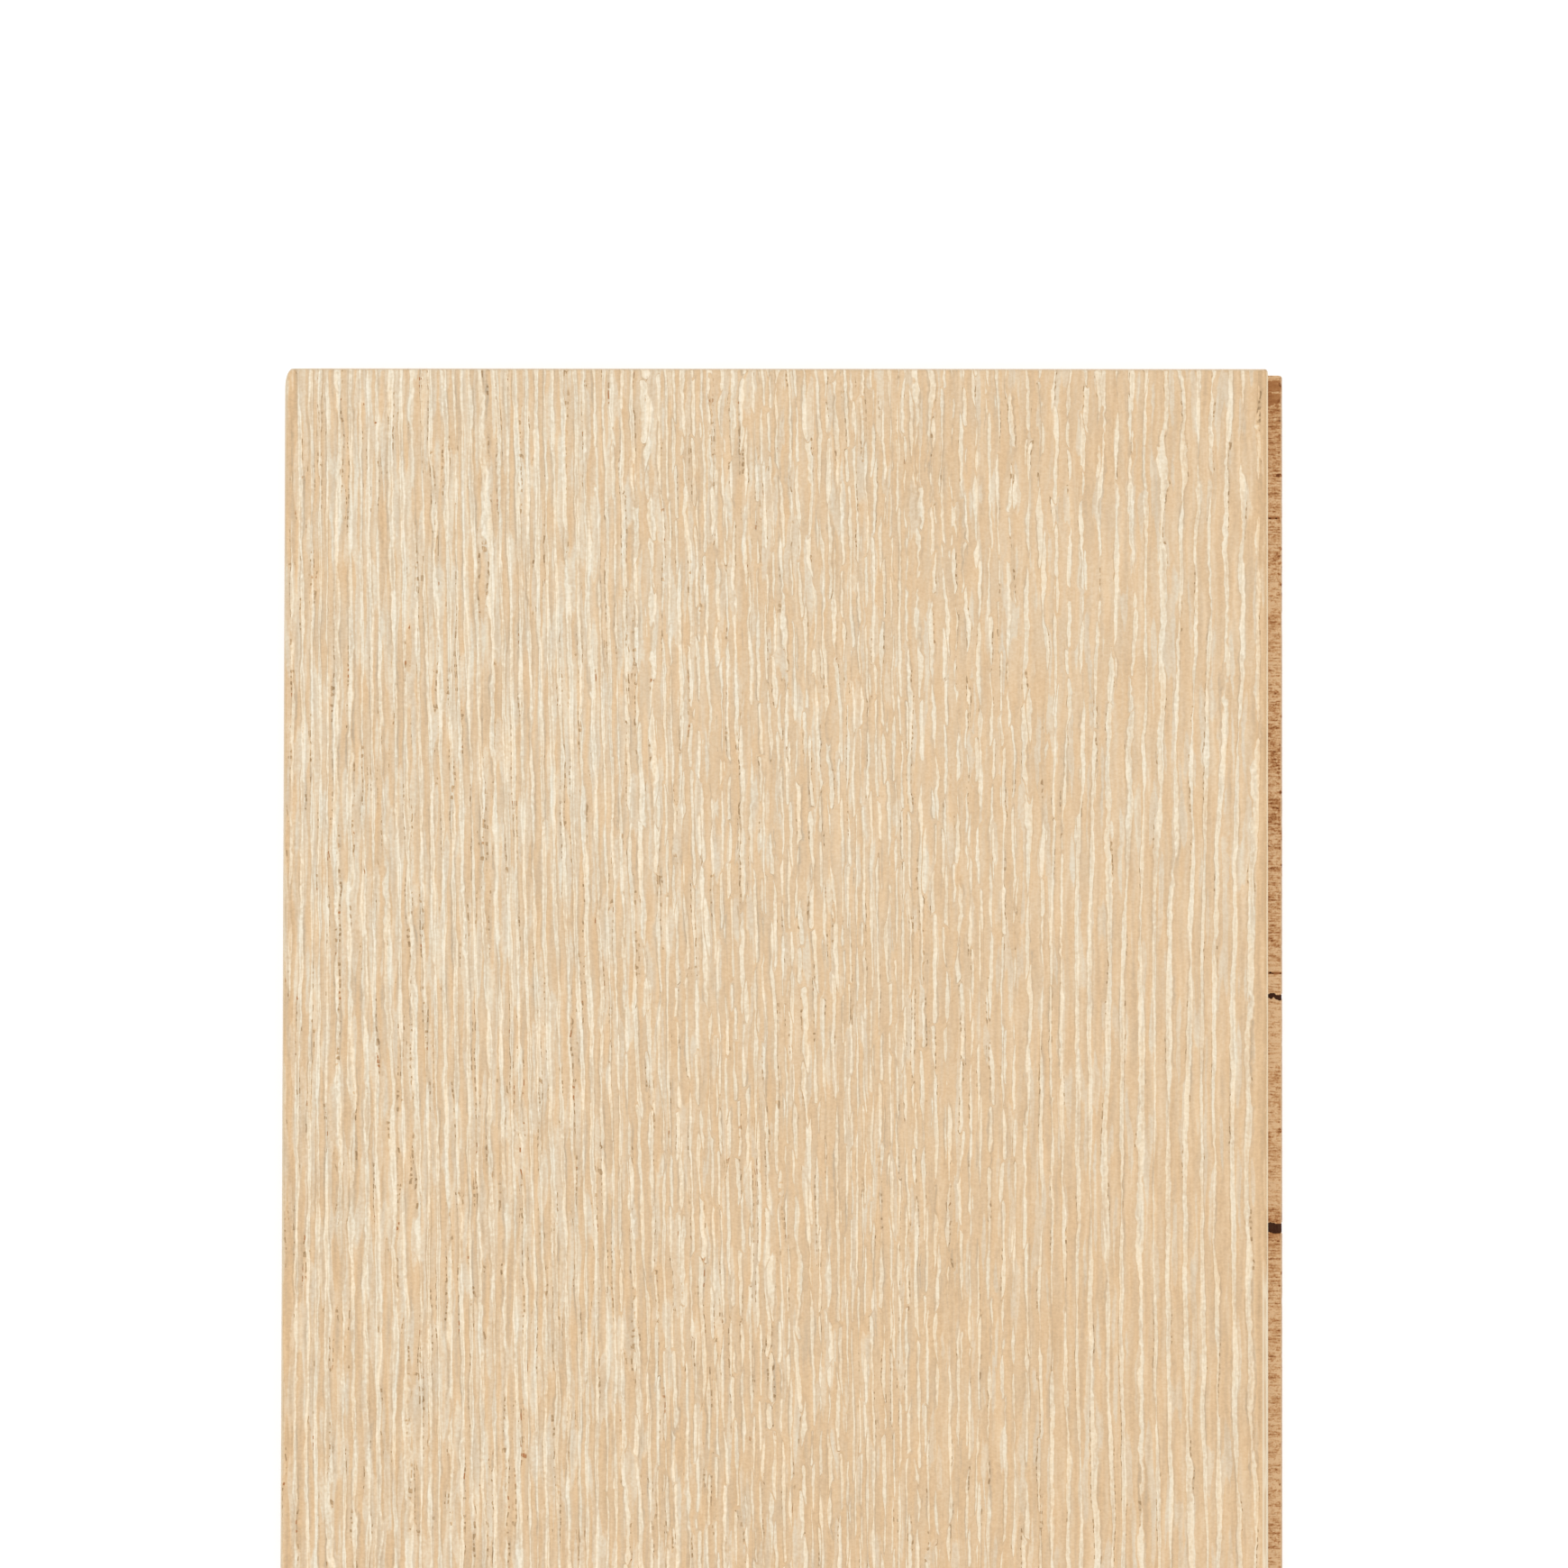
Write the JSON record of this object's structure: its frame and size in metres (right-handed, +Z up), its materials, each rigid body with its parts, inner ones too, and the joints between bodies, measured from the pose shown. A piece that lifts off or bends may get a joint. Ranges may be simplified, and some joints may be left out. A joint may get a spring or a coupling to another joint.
{
  "type": "engineered wood flooring board",
  "caption": "Engineered oak flooring board: oak wear layer on a cross-plied hardwood core, with a tongue on one long side and a groove on the other.",
  "frame": {"origin": "bottom centre of the board's outer box, tongue included, on the underside", "axes": "+Y along the board, +X towards the tongue, +Z up through the oak walking face"},
  "size_m": [0.224, 2.2, 0.015],
  "materials": {
    "limed_oak": "brushed, white-limed, matt oiled",
    "core_long_grain": "bare sawn hardwood veneer, grain along the board",
    "core_cross_grain": "bare milled hardwood veneer, grain across the board",
    "back_veneer": "bare sanded hardwood veneer, grain along the board"
  },
  "bodies": {
    "root": {"oak_wear_layer": "limed_oak", "core_ply_1": "core_long_grain", "core_ply_2": "core_cross_grain", "core_ply_3": "core_long_grain", "core_ply_4": "core_cross_grain", "core_ply_5": "core_long_grain", "core_ply_6": "core_cross_grain", "core_ply_7": "core_long_grain", "core_ply_8": "core_cross_grain", "back_ply": "back_veneer"}
  },
  "joints": []
}
